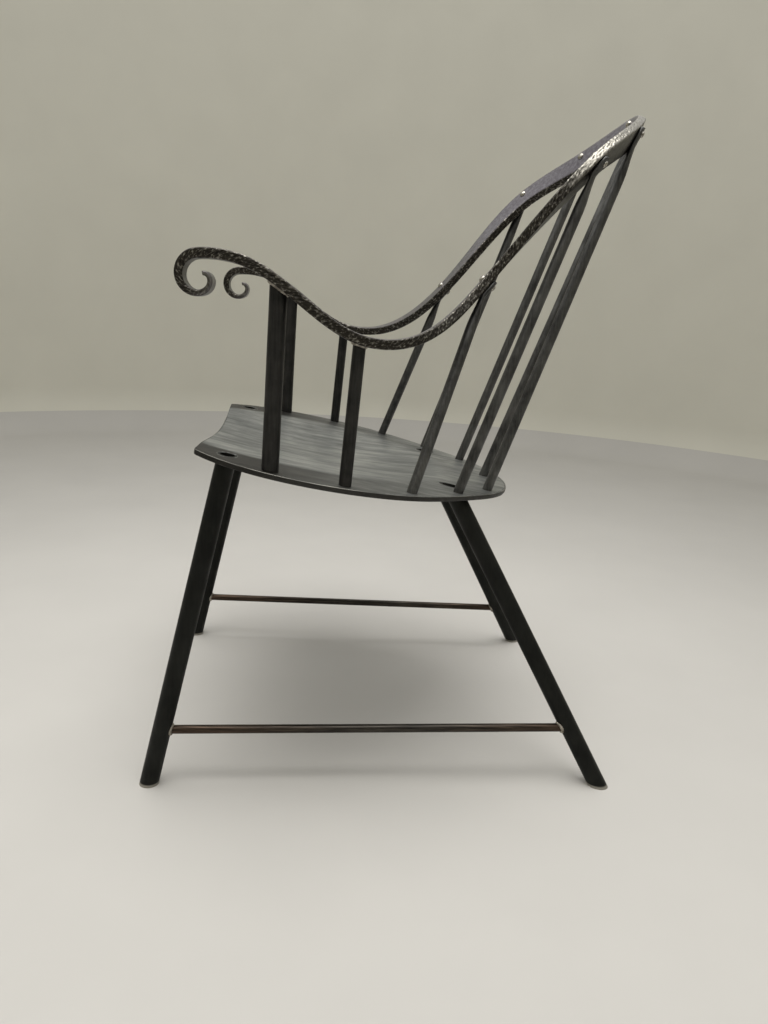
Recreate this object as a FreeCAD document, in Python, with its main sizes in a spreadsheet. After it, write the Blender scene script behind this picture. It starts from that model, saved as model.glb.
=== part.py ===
import FreeCAD, Part
import math
import os
from FreeCAD import Placement, Rotation, Vector

# A continuous-arm windsor chair in forged steel. The floor is Z = 0, the sitter faces -Y, +X is the
# sitter's left. One flat bar makes both arms and the back; everything else is tube, rod and plate.

doc = FreeCAD.newDocument("windsor_chair")
sheet = doc.addObject("Spreadsheet::Sheet", "Sizes")

# Driving dimensions, millimetres and degrees
SIZES = {
    # Seat plate: its plane's height over the origin, its fall to the rear, and its dish
    "seat_height": 424.0,
    "seat_fall_angle": 8.8,
    "seat_thickness": 7.0,
    "seat_front_half_width": 226.0,
    "seat_front_y": -272.0,
    "seat_front_bow": 6.0,
    "seat_corner_radius": 18.0,
    "seat_edge_margin": 17.0,
    "seat_rear_margin": 32.0,
    "dish_depth": 16.0,
    "dish_half_width": 222.0,
    "dish_centre_y": -120.0,
    "dish_front_reach": 260.0,
    "dish_rear_reach": 210.0,
    # Legs, with their centres at the floor and at the seat
    "leg_diameter": 25.4,
    "leg_wall": 3.0,
    "front_foot_x": 251.0,
    "front_foot_y": -329.0,
    "front_leg_seat_x": 224.0,
    "front_leg_seat_y": -230.0,
    "rear_foot_x": 252.0,
    "rear_foot_y": 310.0,
    "rear_leg_seat_x": 136.0,
    "rear_leg_seat_y": 77.0,
    "foot_plug_length": 8.0,
    # The right front leg stands a little further forward, at the floor and at the seat
    "right_foot_lead": 10.0,
    "right_leg_lead": 8.0,
    # Side stretchers
    "stretcher_diameter": 12.0,
    "stretcher_height": 80.0,
    # Arm posts, with the places of their feet on the seat
    "front_post_diameter": 21.3,
    "front_post_x": 270.0,
    "front_post_y": -173.5,
    "rear_post_diameter": 16.0,
    "rear_post_x": 272.0,
    "rear_post_y": -81.0,
    # Back spindles, with the places of their feet on the seat
    "spindle_diameter": 14.0,
    "outer_spindle_x": 237.0,
    "outer_spindle_y": 8.0,
    "middle_spindle_x": 176.0,
    "middle_spindle_y": 81.0,
    "inner_spindle_x": 115.0,
    "inner_spindle_y": 136.0,
    "centre_spindle_y": 155.0,
    "paddle_width": 17.0,
    "paddle_thickness": 6.0,
    "paddle_bedding": 0.9,
    "paddle_tip": 9.0,
    "paddle_root": 17.0,
    "paddle_neck": 46.0,
    # Bow: a flat bar, and the points that its middle line passes
    "bow_width": 36.0,
    "bow_thickness": 12.0,
    "bow_turn_power": 1.3,
    "scroll_x": 247.0,
    "scroll_y": -260.0,
    "scroll_height": 676.0,
    "scroll_radius": 24.5,
    "scroll_eye_radius": 4.0,
    "scroll_turn": 300.0,
    "scroll_tip_thickness": 5.0,
    "arm_crown_x": 253.0,
    "arm_crown_y": -208.0,
    "arm_crown_height": 694.0,
    "front_post_top_x": 262.0,
    "front_post_top_y": -169.0,
    "front_post_top_height": 674.0,
    "rear_post_top_x": 260.0,
    "rear_post_top_y": -71.0,
    "rear_post_top_height": 614.0,
    "arm_dip_x": 247.0,
    "arm_dip_y": -30.0,
    "arm_dip_height": 610.0,
    "outer_rivet_x": 167.0,
    "outer_rivet_y": 93.0,
    "outer_rivet_height": 691.0,
    "middle_rivet_x": 170.0,
    "middle_rivet_y": 222.0,
    "middle_rivet_height": 846.0,
    "inner_rivet_x": 98.0,
    "inner_rivet_y": 290.0,
    "inner_rivet_height": 896.0,
    "crest_y": 324.0,
    "crest_height": 925.0,
    # Rivets
    "rivet_diameter": 6.0,
    "rivet_head_diameter": 11.0,
    "rivet_head_height": 3.6,
    "rivet_tail_diameter": 9.0,
    "rivet_tail_height": 2.6,
    "rivet_offset": 8.0,
    # Weld beads and the gaps of the fits
    "weld_size": 5.0,
    "weld_toe": 1.0,
    "plug_weld_depth": 3.0,
    "fit_clearance": 0.15,
}
for row, (alias, value) in enumerate(SIZES.items(), start=1):
    sheet.set(f"A{row}", alias)
    sheet.set(f"B{row}", str(value))
    sheet.setAlias(f"B{row}", alias)
doc.recompute()


def size(alias):
    return float(sheet.get(alias))


UP = Vector(0, 0, 1)
SIDES = (("left", 1), ("right", -1))
REACH = 2000.0

# Every sub-part that is written out, by its node name, and how many solids a group of alike pieces has
subparts = {}
GROUPS = {"back_rivets": 7, "stretcher_welds": 4, "arm_post_welds": 4, "leg_welds": 4, "upright_welds": 11}


def keep(node, item):
    item.Label = node
    subparts[node] = item
    return item


def add_shape(name, shape):
    item = doc.addObject("Part::Feature", name)
    item.Shape = shape
    return item


def add_rod(name, diameter, start, end, extra=""):
    """A round bar from start to end, as thick as the named size, with extra added to its diameter."""
    rod = doc.addObject("Part::Cylinder", name)
    rod.setExpression("Radius", f"(Sizes.{diameter} {extra}) / 2")
    rod.Height = (end - start).Length
    rod.Placement = Placement(start, Rotation(UP, end - start))
    return rod


def add_bead(name, diameter, toe, root):
    """A weld bead as a cone round a bar, thin at its toe and wide at its root."""
    bead = doc.addObject("Part::Cone", name)
    bead.setExpression("Radius1", f"Sizes.{diameter} / 2 + Sizes.weld_toe")
    bead.setExpression("Radius2", f"Sizes.{diameter} / 2 + Sizes.weld_toe + Sizes.weld_size")
    bead.Height = (root - toe).Length
    bead.Placement = Placement(toe, Rotation(UP, root - toe))
    return bead


def add_cut(name, base, *tools):
    for number, tool in enumerate(tools):
        cut = doc.addObject("Part::Cut", f"{name}_{number}")
        cut.Base = base
        cut.Tool = tool
        base = cut
    return base


def add_half_space(name, point, normal):
    """A block that fills everything on the side of point that normal points to."""
    block = doc.addObject("Part::Box", name)
    block.Length = block.Width = block.Height = REACH
    turn = Rotation(UP, normal)
    block.Placement = Placement(point - turn.multVec(Vector(REACH / 2, REACH / 2, 0)), turn)
    return block


def compound(name, items):
    doc.recompute()
    return add_shape(name, Part.makeCompound([solid for item in items for solid in item.Shape.Solids]))


# Seat plate: a sheet that falls to the rear, dished inside its flat border
FALL = math.tan(math.radians(size("seat_fall_angle")))
SEAT_NORMAL = Vector(0, FALL, 1).normalize()


def seat_plane(x, y):
    return Vector(x, y, size("seat_height") - FALL * y)


def seat_top(x, y):
    along = y - size("dish_centre_y")
    reach = size("dish_rear_reach") if along > 0 else size("dish_front_reach")
    inside = 1 - (x / size("dish_half_width")) ** 2 - (along / reach) ** 2
    return seat_plane(x, y) - UP * (size("dish_depth") * max(inside, 0) ** 1.5)


# Feet of the uprights on the seat, left side: name, place, bar size
UPRIGHTS = {
    "front_arm_post": ("front_post_x", "front_post_y", "front_post_diameter"),
    "rear_arm_post": ("rear_post_x", "rear_post_y", "rear_post_diameter"),
    "outer_back_spindle": ("outer_spindle_x", "outer_spindle_y", "spindle_diameter"),
    "middle_back_spindle": ("middle_spindle_x", "middle_spindle_y", "spindle_diameter"),
    "inner_back_spindle": ("inner_spindle_x", "inner_spindle_y", "spindle_diameter"),
}


def upright_foot(name, sign):
    if name == "centre_back_spindle":
        return seat_plane(0, size("centre_spindle_y"))
    x, y, _ = UPRIGHTS[name]
    return seat_plane(sign * size(x), size(y))


def seat_outline():
    """The plate's edge: it passes outside each upright by the edge margin, and is closed at the front."""
    corner = Vector(size("seat_front_half_width"), size("seat_front_y"), 0)
    middle = Vector(0, size("dish_centre_y"), 0)
    half = [corner]
    for name in UPRIGHTS:
        foot = upright_foot(name, 1)
        foot.z = 0
        outward = (foot - middle).normalize()
        half.append(foot + outward * size("seat_edge_margin"))
    rear = Vector(0, size("centre_spindle_y") + size("seat_rear_margin"), 0)
    mirrored = [Vector(-point.x, point.y, 0) for point in reversed(half)]
    edge = Part.BSplineCurve()
    edge.interpolate(half + [rear] + mirrored)
    front_middle = Vector(0, size("seat_front_y") + size("seat_front_bow"), 0)
    front = Part.Arc(mirrored[-1], front_middle, corner)
    return Part.Wire([edge.toShape(), front.toShape()])


def seat_sheet():
    """The dished sheet, larger than the plate all round."""
    half = size("front_post_x") + 4 * size("seat_edge_margin")
    front = size("seat_front_y") - 2 * size("seat_edge_margin")
    rear = size("centre_spindle_y") + size("seat_rear_margin") + 2 * size("seat_edge_margin")
    columns, rows = 44, 40
    points = []
    for row in range(rows + 1):
        y = front + (rear - front) * row / rows
        points.append([seat_top(half * (2 * column / columns - 1), y) for column in range(columns + 1)])
    surface = Part.BSplineSurface()
    surface.interpolate(points)
    return surface.toShape().extrude(SEAT_NORMAL * -size("seat_thickness"))


def seat_prism():
    """The plate's outline drawn upwards, with its two front corners rounded."""
    prism = Part.Face(seat_outline()).extrude(UP * REACH)
    ends = [(edge, edge.Vertexes[0].X, edge.Vertexes[-1].X) for edge in prism.Edges]
    upright = [edge for edge, first, last in ends if math.isclose(first, last, abs_tol=1e-6)]
    return prism.makeFillet(size("seat_corner_radius"), upright)


seat_blank = add_shape("seat_blank", seat_prism().common(seat_sheet()))
above_seat = add_half_space("above_seat", seat_plane(0, 0), SEAT_NORMAL)
under_side = seat_plane(0, 0) - SEAT_NORMAL * size("seat_thickness")
above_under_side = add_half_space("above_under_side", under_side, SEAT_NORMAL)
below_under_side = add_half_space("below_under_side", under_side, SEAT_NORMAL * -1)
# The uprights' feet end inside the plate, over the weld metal that fills their holes from below
foot_ends = under_side + SEAT_NORMAL * size("plug_weld_depth")
below_foot_ends = add_half_space("below_foot_ends", foot_ends, SEAT_NORMAL * -1)
above_foot_ends = add_half_space("above_foot_ends", foot_ends, SEAT_NORMAL)
floor = add_half_space("floor", Vector(0, 0, 0), UP * -1)


# Bow: a flat bar on one middle line from hand to hand
def scroll_points():
    """The hand's curl, from its eye out to its top."""
    points = []
    steps = 15
    for step in range(steps, -1, -1):
        share = step / steps
        angle = math.radians(90 + size("scroll_turn") * share)
        radius = size("scroll_radius") + (size("scroll_eye_radius") - size("scroll_radius")) * share ** 3
        height = size("scroll_height") + radius * math.sin(angle)
        points.append(Vector(size("scroll_x"), size("scroll_y") + radius * math.cos(angle), height))
    return points


STATIONS = ("arm_crown", "front_post_top", "rear_post_top", "arm_dip")
RIVETED = ("outer_rivet", "middle_rivet", "inner_rivet")


def station(name):
    return Vector(size(name + "_x"), size(name + "_y"), size(name + "_height"))


def mirror(point):
    return Vector(-point.x, point.y, point.z)


CREST = Vector(0, size("crest_y"), size("crest_height"))
half_line = scroll_points() + [station(name) for name in STATIONS + RIVETED]
middle_line = Part.BSplineCurve()
middle_line.interpolate(half_line + [CREST] + [mirror(point) for point in reversed(half_line)])
CREST_AT = middle_line.parameter(CREST)
FLAT_UNTIL = middle_line.parameter(station("rear_post_top"))
# At the crest the bar stands along the centre spindle
CREST_WIDE = (CREST - upright_foot("centre_back_spindle", 1)).normalize()


def bow_frame(at):
    """The bar's middle, its outward width direction and its face normal at a place on its line."""
    mirrored = at > CREST_AT
    if mirrored:
        at = 2 * CREST_AT - at
    along = middle_line.tangent(at)[0]
    share = max(at - FLAT_UNTIL, 0) / (CREST_AT - FLAT_UNTIL)
    turn = share ** size("bow_turn_power")
    wide = Vector(1, 0, 0) * (1 - turn) + CREST_WIDE * turn
    wide = (wide - along * wide.dot(along)).normalize()
    face = wide.cross(along).normalize()
    middle = middle_line.value(at)
    if mirrored:
        return mirror(middle), mirror(wide), mirror(face)
    return middle, wide, face


SCROLL_TOP_AT = middle_line.parameter(scroll_points()[-1])


def bow_thickness(at):
    """The bar draws out thinner along the curl of the hand."""
    out = min(at, 2 * CREST_AT - at) / SCROLL_TOP_AT
    tip = size("scroll_tip_thickness")
    return tip + (size("bow_thickness") - tip) * min(out, 1)


def bow_places():
    """Places of the bar's sections: close together in the curls, wider apart on the arms and back."""
    curl, rest = 16, 40
    half = [SCROLL_TOP_AT * step / curl for step in range(curl)]
    half += [SCROLL_TOP_AT + (CREST_AT - SCROLL_TOP_AT) * step / rest for step in range(rest)]
    return half + [CREST_AT] + [2 * CREST_AT - at for at in reversed(half)]


def bow_bar():
    sections = []
    for at in bow_places():
        middle, wide, face = bow_frame(at)
        side = wide * (size("bow_width") / 2)
        rise = face * (bow_thickness(at) / 2)
        corners = [middle + side + rise, middle - side + rise, middle - side - rise, middle + side - rise]
        sections.append(Part.makePolygon(corners + corners[:1]))
    return Part.makeLoft(sections, True, False)


bow_blank = add_shape("bow_blank", bow_bar())

# Rivets: a headed pin square to the bar's face, through the bar and the spindle's paddle
SPINDLES = {"outer_back_spindle": "outer_rivet", "middle_back_spindle": "middle_rivet",
            "inner_back_spindle": "inner_rivet"}


def spindle_places():
    for name, rivet in SPINDLES.items():
        at = middle_line.parameter(station(rivet))
        yield f"{name}_left", upright_foot(name, 1), bow_frame(at)
        yield f"{name}_right", upright_foot(name, -1), bow_frame(2 * CREST_AT - at)
    yield "centre_back_spindle", upright_foot("centre_back_spindle", 1), bow_frame(CREST_AT)


def cap_edge(radius, height, base):
    """Half the outline of a round head, from its rim at base to its crown at base + height."""
    ball = (radius ** 2 + height ** 2) / (2 * abs(height))
    middle = base + height - math.copysign(ball, height)
    between = math.radians(45) if ball <= radius else math.asin(radius / ball) / 2
    bend = Vector(ball * math.sin(between), 0, middle + math.copysign(ball * math.cos(between), height))
    return Part.Arc(Vector(radius, 0, base), bend, Vector(0, 0, base + height)).toShape()


def rivet_shape(centre, face):
    """A pin with a round head on the bar's front face and a round tail on the paddle's back."""
    front = size("bow_thickness") / 2 + size("fit_clearance")
    rear = -front - size("paddle_thickness")
    shank = size("rivet_diameter") / 2
    head = size("rivet_head_diameter") / 2
    tail = size("rivet_tail_diameter") / 2
    corners = [Vector(tail, 0, rear), Vector(shank, 0, rear), Vector(shank, 0, front), Vector(head, 0, front)]
    edges = [Part.makeLine(*ends) for ends in zip(corners, corners[1:])]
    edges.append(cap_edge(head, size("rivet_head_height"), front))
    edges.append(cap_edge(tail, -size("rivet_tail_height"), rear))
    crowns = [Vector(0, 0, front + size("rivet_head_height")), Vector(0, 0, rear - size("rivet_tail_height"))]
    edges.append(Part.makeLine(*crowns))
    profile = Part.Face(Part.Wire(Part.__sortEdges__(edges)))
    pin = profile.revolve(Vector(0, 0, 0), UP, 360)
    pin.Placement = Placement(centre, Rotation(UP, face))
    return pin


def ellipse(centre, along, thick, width, depth):
    """A flattened round section, square to along, with its depth near thick."""
    deep = (thick - along * thick.dot(along)).normalize()
    turn = Rotation(deep.cross(along), deep, along, "ZXY")
    unit = Part.Circle(Vector(0, 0, 0), UP, 0.5).toShape().toNurbs()
    stretch = FreeCAD.Matrix()
    stretch.scale(width, depth, 1)
    edge = unit.transformGeometry(stretch)
    edge.Placement = Placement(centre, turn)
    return Part.Wire(edge.Edges)


def spindle_line(foot, centre, face):
    """The spindle's rise from the seat, its neck, and the root, tip and run of its paddle behind the bar."""
    middle = centre - face * ((size("bow_thickness") + size("paddle_thickness") - size("paddle_bedding")) / 2)
    lean = (middle - foot).normalize()
    flat = (lean - face * lean.dot(face)).normalize()
    root = middle - flat * size("paddle_root")
    rise = (root - foot).normalize()
    return rise, root - rise * size("paddle_neck"), root, middle + flat * size("paddle_tip"), flat


def spindle_shape(foot, face, line):
    """A round rod from the seat that is drawn out to a flat paddle with a round end behind the bar."""
    rise, neck, root, tip, flat = line
    thick = size("spindle_diameter")
    wide = size("paddle_width")
    # The drawn end is deeper than the paddle by its bedding, which is then faced flat
    deep = size("paddle_thickness") + size("paddle_bedding")
    start = foot - rise * (4 * size("seat_thickness"))
    sections = [ellipse(start, rise, face, thick, thick)]
    steps = 6
    for step in range(steps + 1):
        share = step / steps
        ease = share * share * (3 - 2 * share)
        along = (rise * (1 - ease) + flat * ease).normalize()
        centre = neck + (root - neck) * share
        sections.append(ellipse(centre, along, face, thick + (wide - thick) * ease, thick + (deep - thick) * ease))
    # Its end narrows as a half round does
    for out in (0.0, 0.5, 0.8, 0.96):
        centre = tip - flat * (wide / 2 * (1 - out))
        sections.append(ellipse(centre, flat, face, wide * math.sqrt(1 - out ** 2), deep))
    return Part.makeLoft(sections, True, True)


rivet_holes = []
rivets = []
spindle_blanks = {}
spindle_rises = {}
for node, foot, (middle, wide, face) in spindle_places():
    centre = middle + wide * size("rivet_offset")
    line = spindle_line(foot, centre, face)
    ends = [centre + face * (side * 3 * size("bow_thickness")) for side in (-1, 1)]
    rivet_holes.append(add_rod(f"{node}_rivet_hole", "rivet_diameter", *ends, "+ 2 * Sizes.fit_clearance"))
    rivets.append(add_shape(f"{node}_rivet", rivet_shape(centre, face)))
    spindle_blanks[node] = add_shape(f"{node}_blank", spindle_shape(foot, face, line))
    spindle_rises[node] = line[0]
bow = keep("continuous_bow", add_cut("bow", bow_blank, *rivet_holes))


# Feet of the posts and spindles: each stands in a hole of the seat, welded in from below and ground flush
seat_tools = []
plug_welds = []


def stand_in_seat(node, bar_size, foot, rise):
    ends = [foot + rise * (side * 3 * size("seat_thickness")) for side in (-1, 1)]
    seat_tools.append(add_rod(f"{node}_seat_hole", bar_size, *ends, "+ 2 * Sizes.fit_clearance"))
    fill = add_rod(f"{node}_plug_weld", bar_size, *ends)
    plug_welds.append(add_cut(f"{node}_plug_weld_cut", fill, below_under_side, above_foot_ends))


def add_bar_block(name, middle, wide, face):
    """A straight stand-in for the bar at a rivet, whose rear face is the bed of the spindle's paddle."""
    block = doc.addObject("Part::Box", name)
    block.setExpression("Length", "Sizes.bow_width")
    block.setExpression("Width", "4 * Sizes.paddle_width")
    block.setExpression("Height", "2 * Sizes.bow_thickness")
    along = face.cross(wide)
    bed = middle - face * (size("bow_thickness") / 2 + size("fit_clearance"))
    corner = bed - wide * (size("bow_width") / 2) - along * (2 * size("paddle_width"))
    block.Placement = Placement(corner, Rotation(wide, along, face, "XZY"))
    return block


# Back spindles: faced flat where they bed on the bar's rear face, and drilled for the rivet
for (node, foot, bar_frame), hole in zip(spindle_places(), rivet_holes):
    blank = spindle_blanks[node]
    bar_block = add_bar_block(f"{node}_bar_block", *bar_frame)
    keep(node, add_cut(f"{node}_cut", blank, below_foot_ends, bar_block, hole))
    stand_in_seat(node, "spindle_diameter", foot, spindle_rises[node])

keep("back_rivets", compound("back_rivets_group", rivets))

# Arm posts: round bar from the seat to the underside of the arms
post_beads = []
for name, top in (("front_arm_post", "front_post_top"), ("rear_arm_post", "rear_post_top")):
    bar_size = UPRIGHTS[name][2]
    for side, sign in SIDES:
        node = f"{name}_{side}"
        head = station(top) if sign > 0 else mirror(station(top))
        foot = upright_foot(name, sign)
        rise = (head - foot).normalize()
        blank = add_rod(f"{node}_blank", bar_size, foot - rise * (3 * size("seat_thickness")), head)
        # The bar of the post and its bead's cone reach into the arm, and only what is left under the arm is kept
        at = middle_line.parameter(station(top))
        middle, _, face = bow_frame(at if sign > 0 else 2 * CREST_AT - at)
        above_bar = add_half_space(f"{node}_above_bar", middle, face)
        keep(node, add_cut(f"{node}_cut", blank, below_foot_ends, above_bar, bow_blank))
        stand_in_seat(node, bar_size, foot, rise)
        toe = head - rise * (size("bow_thickness") / 2 + 3 * size("weld_size"))
        bead = add_bead(f"{node}_bead", bar_size, toe, head + rise * (2 * size("weld_size")))
        post_beads.append(add_cut(f"{node}_bead_cut", bead, above_bar, bow_blank, blank))

# Legs: tube from the floor to the top of the seat, with a plug in the lower end
leg_lines = {}
leg_bars = {}


def leg_ends(name, sign):
    """A leg's centre at the floor and at the seat."""
    ahead = name == "front" and sign < 0
    foot_y = size(f"{name}_foot_y") - (size("right_foot_lead") if ahead else 0)
    seat_y = size(f"{name}_leg_seat_y") - (size("right_leg_lead") if ahead else 0)
    foot = Vector(sign * size(f"{name}_foot_x"), foot_y, 0)
    return foot, seat_plane(sign * size(f"{name}_leg_seat_x"), seat_y)


for name in ("front", "rear"):
    for side, sign in SIDES:
        node = f"{name}_leg_{side}"
        foot, head = leg_ends(name, sign)
        rise = (head - foot).normalize()
        spare = 2 * size("leg_diameter")
        ends = (foot - rise * spare, head + rise * spare)
        bar = add_rod(f"{node}_bar", "leg_diameter", *ends)
        bore = add_rod(f"{node}_bore", "leg_diameter", *ends, "- 2 * Sizes.leg_wall")
        keep(node, add_cut(f"{node}_cut", bar, bore, floor, above_seat))
        plug_top = foot + rise * size("foot_plug_length")
        plug = add_rod(f"{node}_plug", "leg_diameter", ends[0], plug_top,
                       "- 2 * Sizes.leg_wall - 2 * Sizes.fit_clearance")
        keep(f"{name}_foot_plug_{side}", add_cut(f"{node}_plug_cut", plug, floor))
        seat_tools.append(add_rod(f"{node}_seat_hole", "leg_diameter", *ends, "+ 2 * Sizes.fit_clearance"))
        leg_lines[node] = (foot, rise)
        leg_bars[node] = bar

seat = keep("seat_plate", add_cut("seat", seat_blank, *seat_tools))

# Side stretchers: rod between the front and rear legs, coped to both
stretcher_beads = []
for side, sign in SIDES:
    ends = []
    for name in ("front", "rear"):
        foot, rise = leg_lines[f"{name}_leg_{side}"]
        ends.append(foot + rise * (size("stretcher_height") / rise.z))
    legs = [leg_bars[f"front_leg_{side}"], leg_bars[f"rear_leg_{side}"]]
    rod = add_rod(f"stretcher_{side}_rod", "stretcher_diameter", *ends)
    keep(f"side_stretcher_{side}", add_cut(f"stretcher_{side}_cut", rod, *legs))
    run = (ends[1] - ends[0]).normalize()
    for end, inward, leg in zip(ends, (run, run * -1), legs):
        toe = end + inward * (size("leg_diameter") / 2 + size("weld_size"))
        bead = add_bead(f"{leg.Name}_stretcher_bead", "stretcher_diameter", toe, end)
        stretcher_beads.append(add_cut(f"{leg.Name}_stretcher_bead_cut", bead, leg, rod))

# Weld beads under the seat, round the legs
leg_beads = []
for node, (foot, rise) in leg_lines.items():
    head = foot + rise * ((seat_plane(0, 0) - foot).dot(SEAT_NORMAL) / rise.dot(SEAT_NORMAL))
    down = (size("seat_thickness") + size("weld_size")) / rise.dot(SEAT_NORMAL)
    toe = head - rise * (down + size("weld_size"))
    bead = add_bead(f"{node}_under_bead", "leg_diameter", toe, head + rise * size("weld_size"))
    leg_beads.append(add_cut(f"{node}_under_bead_cut", bead, above_under_side, leg_bars[node]))

keep("stretcher_welds", compound("stretcher_welds_group", stretcher_beads))
keep("arm_post_welds", compound("arm_post_welds_group", post_beads))
keep("leg_welds", compound("leg_welds_group", leg_beads))
keep("upright_welds", compound("upright_welds_group", plug_welds))

# Every object has to be sound before anything is written
doc.recompute()
for item in doc.Objects:
    if "Invalid" in item.State or "Error" in item.State:
        raise RuntimeError(f"{item.Name} failed: {item.State}")
for node, item in subparts.items():
    if item.Shape.isNull() or not item.Shape.isValid() or not item.Shape.Solids:
        raise RuntimeError(f"{node} has no sound solid")
    if len(item.Shape.Solids) != GROUPS.get(node, 1):
        raise RuntimeError(f"{node} is in {len(item.Shape.Solids)} pieces")

os.makedirs("parts", exist_ok=True)
for node, item in subparts.items():
    item.Shape.exportStep(os.path.join("parts", node + ".step"))
    print(f"{node}: {len(item.Shape.Solids)} solid(s), {item.Shape.Volume / 1000:.1f} cm3")
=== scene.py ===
import bpy
import bmesh
import math
import numpy as np
from mathutils import Matrix, Vector, noise


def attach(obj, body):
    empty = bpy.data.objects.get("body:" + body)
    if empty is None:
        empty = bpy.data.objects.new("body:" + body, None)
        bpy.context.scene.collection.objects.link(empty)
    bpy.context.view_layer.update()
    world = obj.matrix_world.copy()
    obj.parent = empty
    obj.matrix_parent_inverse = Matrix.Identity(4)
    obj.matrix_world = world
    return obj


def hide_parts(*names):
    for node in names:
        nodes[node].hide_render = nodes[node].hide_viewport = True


# A continuous-arm windsor chair in forged steel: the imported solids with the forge's own surfaces on them.
# Sizes are millimetres in the solids' frame; MM takes them to metres.

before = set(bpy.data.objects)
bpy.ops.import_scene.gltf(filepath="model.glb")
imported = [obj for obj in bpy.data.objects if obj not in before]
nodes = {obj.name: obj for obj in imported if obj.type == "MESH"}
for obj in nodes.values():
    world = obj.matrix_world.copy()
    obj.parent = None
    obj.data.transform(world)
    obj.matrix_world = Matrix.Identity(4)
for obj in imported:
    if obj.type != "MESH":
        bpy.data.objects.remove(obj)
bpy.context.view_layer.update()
MM = 0.001
UP = Vector((0, 0, 1))

# Seat plate: it falls to the rear and is dished inside its flat border
SEAT_HEIGHT = 424.0
SEAT_FALL = math.tan(math.radians(8.8))
SEAT_NORMAL = Vector((0, SEAT_FALL, 1)).normalized()
SEAT_THICKNESS = 7.0
SEAT_CORNER = Vector((226, -272))
SEAT_CORNER_RADIUS = 18.0
SEAT_FRONT_BOW = 6.0
SEAT_EDGE_MARGIN = 17.0
SEAT_REAR = Vector((0, 187))
DISH_DEPTH = 16.0
DISH_HALF_WIDTH = 222.0
DISH_CENTRE = Vector((0, -120))
DISH_FRONT_REACH = 260.0
DISH_REAR_REACH = 210.0

# Feet of the uprights on the left half of the seat, from front to rear
POST_FEET = [Vector((270, -173.5)), Vector((272, -81))]
UPRIGHT_FEET = POST_FEET + [Vector((237, 8)), Vector((176, 81)), Vector((115, 136))]
CENTRE_SPINDLE_FOOT = Vector((0, 155))

# Legs: centres at the floor and at the seat, left and right, front and rear
LEG_DIAMETER = 25.4
FIT_CLEARANCE = 0.15
LEGS = [
    (Vector((251, -329)), Vector((224, -230))),
    (Vector((-251, -339)), Vector((-224, -238))),
    (Vector((252, 310)), Vector((136, 77))),
    (Vector((-252, 310)), Vector((-136, 77))),
]
STRETCHER_DIAMETER = 12.0
STRETCHER_HEIGHT = 80.0

# Bow: the flat bar's section, the curl of its hand, and the places that its middle line passes
BOW_WIDTH = 36.0
BOW_THICKNESS = 12.0
BOW_TURN_POWER = 1.3
SCROLL_CENTRE = Vector((247, -260, 676))
SCROLL_RADIUS = 24.5
SCROLL_EYE_RADIUS = 4.0
SCROLL_TURN = 300.0
SCROLL_STEPS = 15
SCROLL_TIP_THICKNESS = 5.0
ARM_CROWN = Vector((253, -208, 694))
FRONT_POST_TOP = Vector((262, -169, 674))
REAR_POST_TOP = Vector((260, -71, 614))
ARM_DIP = Vector((247, -30, 610))
RIVETED = [Vector((167, 93, 691)), Vector((170, 222, 846)), Vector((98, 290, 896))]
CREST = Vector((0, 324, 925))
FRONT_POST_DIAMETER = 21.3
REAR_POST_DIAMETER = 16.0

# Rivets: place across the bar, the paddle behind it, and the radius and height of their round ends
RIVET_OFFSET = 8.0
PADDLE_THICKNESS = 6.0
RIVET_HEAD = (5.5, 3.6)
RIVET_TAIL = (4.5, 2.6)


# Shapes that the pieces follow
def mirrored(point):
    return Vector((-point.x, *point[1:]))


def seat_plane(x, y):
    return Vector((x, y, SEAT_HEIGHT - SEAT_FALL * y))


def dish_inside(x, y):
    """One at the middle of the dish, nought on its edge, less on the flat border."""
    along = y - DISH_CENTRE.y
    reach = DISH_REAR_REACH if along > 0 else DISH_FRONT_REACH
    return 1 - (x / DISH_HALF_WIDTH) ** 2 - (along / reach) ** 2


def seat_top(x, y):
    return seat_plane(x, y) - UP * (DISH_DEPTH * max(dish_inside(x, y), 0) ** 1.5)


def smooth_line(points):
    """A cubic spline through the points, with the run of its first and last four at its ends.
    Returns the points' lengths along it, and a function of length to place and run."""
    points = np.array([tuple(point) for point in points], float)
    at = np.concatenate([[0], np.cumsum(np.linalg.norm(np.diff(points, axis=0), axis=1))])
    step = np.diff(at)
    last = len(points) - 1
    system = np.zeros((last + 1, last + 1))
    right = np.zeros_like(points)
    slope = np.diff(points, axis=0) / step[:, None]
    for i in range(1, last):
        system[i, i - 1:i + 2] = step[i - 1], 2 * (step[i - 1] + step[i]), step[i]
        right[i] = 6 * (slope[i] - slope[i - 1])

    def end_run(some, where):
        cubic = np.polyfit(at[some], points[some], 3)
        return 3 * cubic[0] * where ** 2 + 2 * cubic[1] * where + cubic[2]

    system[0, :2] = 2 * step[0], step[0]
    right[0] = 6 * (slope[0] - end_run(slice(0, 4), at[0]))
    system[last, last - 1:] = step[-1], 2 * step[-1]
    right[last] = 6 * (end_run(slice(-4, None), at[-1]) - slope[-1])
    bend = np.linalg.solve(system, right)

    def place(length):
        i = int(np.clip(np.searchsorted(at, length) - 1, 0, last - 1))
        before, after, span = length - at[i], at[i + 1] - length, step[i]
        spot = (bend[i] * after ** 3 + bend[i + 1] * before ** 3) / (6 * span)
        spot += (points[i] / span - bend[i] * span / 6) * after
        spot += (points[i + 1] / span - bend[i + 1] * span / 6) * before
        run = (bend[i + 1] * before ** 2 - bend[i] * after ** 2) / (2 * span)
        run += slope[i] - (bend[i + 1] - bend[i]) * span / 6
        return Vector(spot), Vector(run).normalized()

    return at, place


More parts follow.
